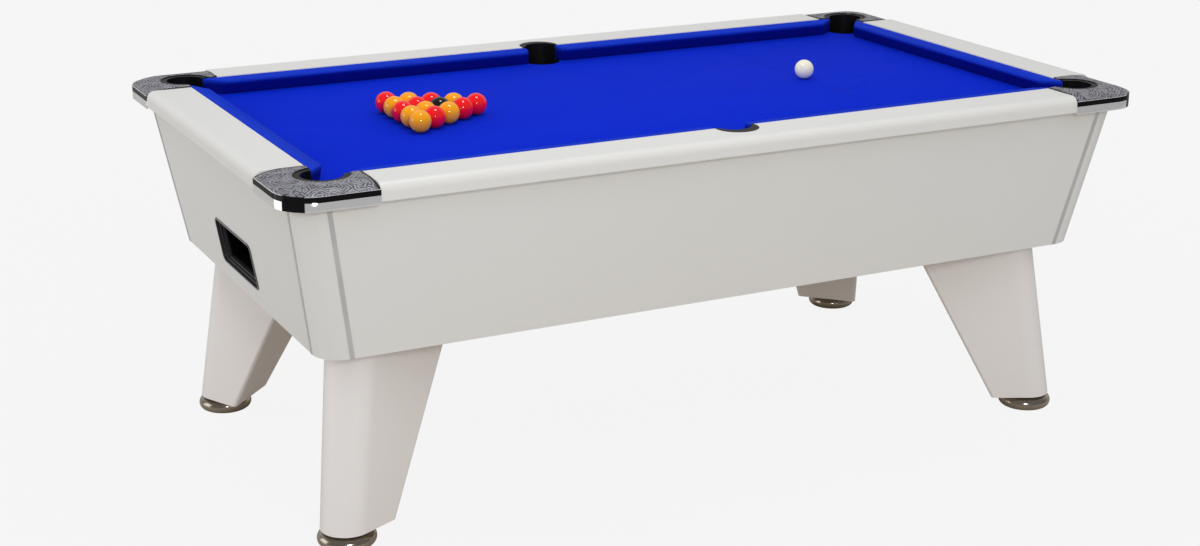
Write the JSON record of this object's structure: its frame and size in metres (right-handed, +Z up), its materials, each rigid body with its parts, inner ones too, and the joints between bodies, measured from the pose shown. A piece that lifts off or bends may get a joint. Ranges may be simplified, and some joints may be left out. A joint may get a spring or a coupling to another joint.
{
  "type": "pool table",
  "caption": "Slate-bed pool table with cloth-covered cushions, pockets, metal corner caps, splayed legs on levelling feet and a ball-return window in one end.",
  "frame": {"origin": "on the floor under the centre of the table", "axes": "+X along the length, away from the ball window; +Y across the table, away from the viewed side; +Z up"},
  "size_m": [2.133, 1.218, 0.8431],
  "materials": {
    "white_laminate": "satin white laminate",
    "timber": "plain timber",
    "run_board": "dark board",
    "slate": null,
    "blue_cloth": "royal blue napped cloth",
    "cushion_cloth": "royal blue cloth over rubber",
    "grey_trim": "satin grey",
    "black_moulding": "black moulded plastic",
    "chrome_cap": "polished, with a dark upper bevel",
    "cap_inlay": "textured pewter grey",
    "nickel": "satin nickel",
    "steel": "zinc plated",
    "red_ball": "polished",
    "yellow_ball": "polished",
    "black_ball": "polished",
    "cue_ball": "polished"
  },
  "bodies": {
    "table": {"ball_run_back": "run_board", "ball_run_front": "run_board", "ball_tray": "run_board", "bed_cloth": "blue_cloth", "cabinet_floor": "timber", "cap_inlays": "cap_inlay", "corner_blocks": "timber", "corner_cap_back_left": "chrome_cap", "corner_cap_back_right": "chrome_cap", "corner_cap_front_left": "chrome_cap", "corner_cap_front_right": "chrome_cap", "corner_pocket_back_left": "black_moulding", "corner_pocket_back_right": "black_moulding", "corner_pocket_front_left": "black_moulding", "corner_pocket_front_right": "black_moulding", "corner_post_back_left": "white_laminate", "corner_post_back_right": "white_laminate", "corner_post_front_left": "white_laminate", "corner_post_front_right": "white_laminate", "cross_runs": "run_board", "cushion_back_left": "cushion_cloth", "cushion_back_right": "cushion_cloth", "cushion_end_plain": "cushion_cloth", "cushion_end_window": "cushion_cloth", "cushion_front_left": "cushion_cloth", "cushion_front_right": "cushion_cloth", "end_panel_plain": "white_laminate", "end_panel_window": "white_laminate", "leg_back_left": "white_laminate", "leg_back_right": "white_laminate", "leg_bolts": "steel", "leg_front_left": "white_laminate", "leg_front_right": "white_laminate", "leg_inserts": "steel", "leg_plates": "white_laminate", "middle_pocket_back": "black_moulding", "middle_pocket_front": "black_moulding", "post_trim_strips": "grey_trim", "rail_back": "white_laminate", "rail_bolts": "steel", "rail_corner_blocks": "timber", "rail_end_plain": "white_laminate", "rail_end_window": "white_laminate", "rail_front": "white_laminate", "run_uprights": "timber", "side_panel_back": "white_laminate", "side_panel_front": "white_laminate", "slate_bearers": "timber", "slate_bed": "slate", "slate_screws": "steel", "window_bezel": "black_moulding"},
    "foot_front_left": {"levelling_foot_front_left": "nickel"},
    "foot_front_right": {"levelling_foot_front_right": "nickel"},
    "foot_back_left": {"levelling_foot_back_left": "nickel"},
    "foot_back_right": {"levelling_foot_back_right": "nickel"},
    "cue_ball": {"cue_ball": "cue_ball"},
    "black_ball": {"black_ball": "black_ball"},
    "red_balls": {"red_balls": "red_ball"},
    "yellow_balls": {"yellow_balls": "yellow_ball"}
  },
  "joints": [
    {"name": "foot_screw_front_left", "type": "slide", "parent": "table", "child": "foot_front_left", "axis": [0, 0, -1], "range_m": [0, 0.025]},
    {"name": "foot_screw_front_right", "type": "slide", "parent": "table", "child": "foot_front_right", "axis": [0, 0, -1], "range_m": [0, 0.025]},
    {"name": "foot_screw_back_left", "type": "slide", "parent": "table", "child": "foot_back_left", "axis": [0, 0, -1], "range_m": [0, 0.025]},
    {"name": "foot_screw_back_right", "type": "slide", "parent": "table", "child": "foot_back_right", "axis": [0, 0, -1], "range_m": [0, 0.025]},
    {"name": "cue_ball_run", "type": "slide", "parent": "table", "child": "cue_ball", "axis": [1, 0, 0], "range_m": [-0.83, 0.38]},
    {"name": "black_ball_lift", "type": "slide", "parent": "table", "child": "black_ball", "axis": [0, 0, 1], "range_m": [0, 0.1]},
    {"name": "red_balls_lift", "type": "slide", "parent": "table", "child": "red_balls", "axis": [0, 0, 1], "range_m": [0, 0.1]},
    {"name": "yellow_balls_lift", "type": "slide", "parent": "table", "child": "yellow_balls", "axis": [0, 0, 1], "range_m": [0, 0.1]}
  ]
}
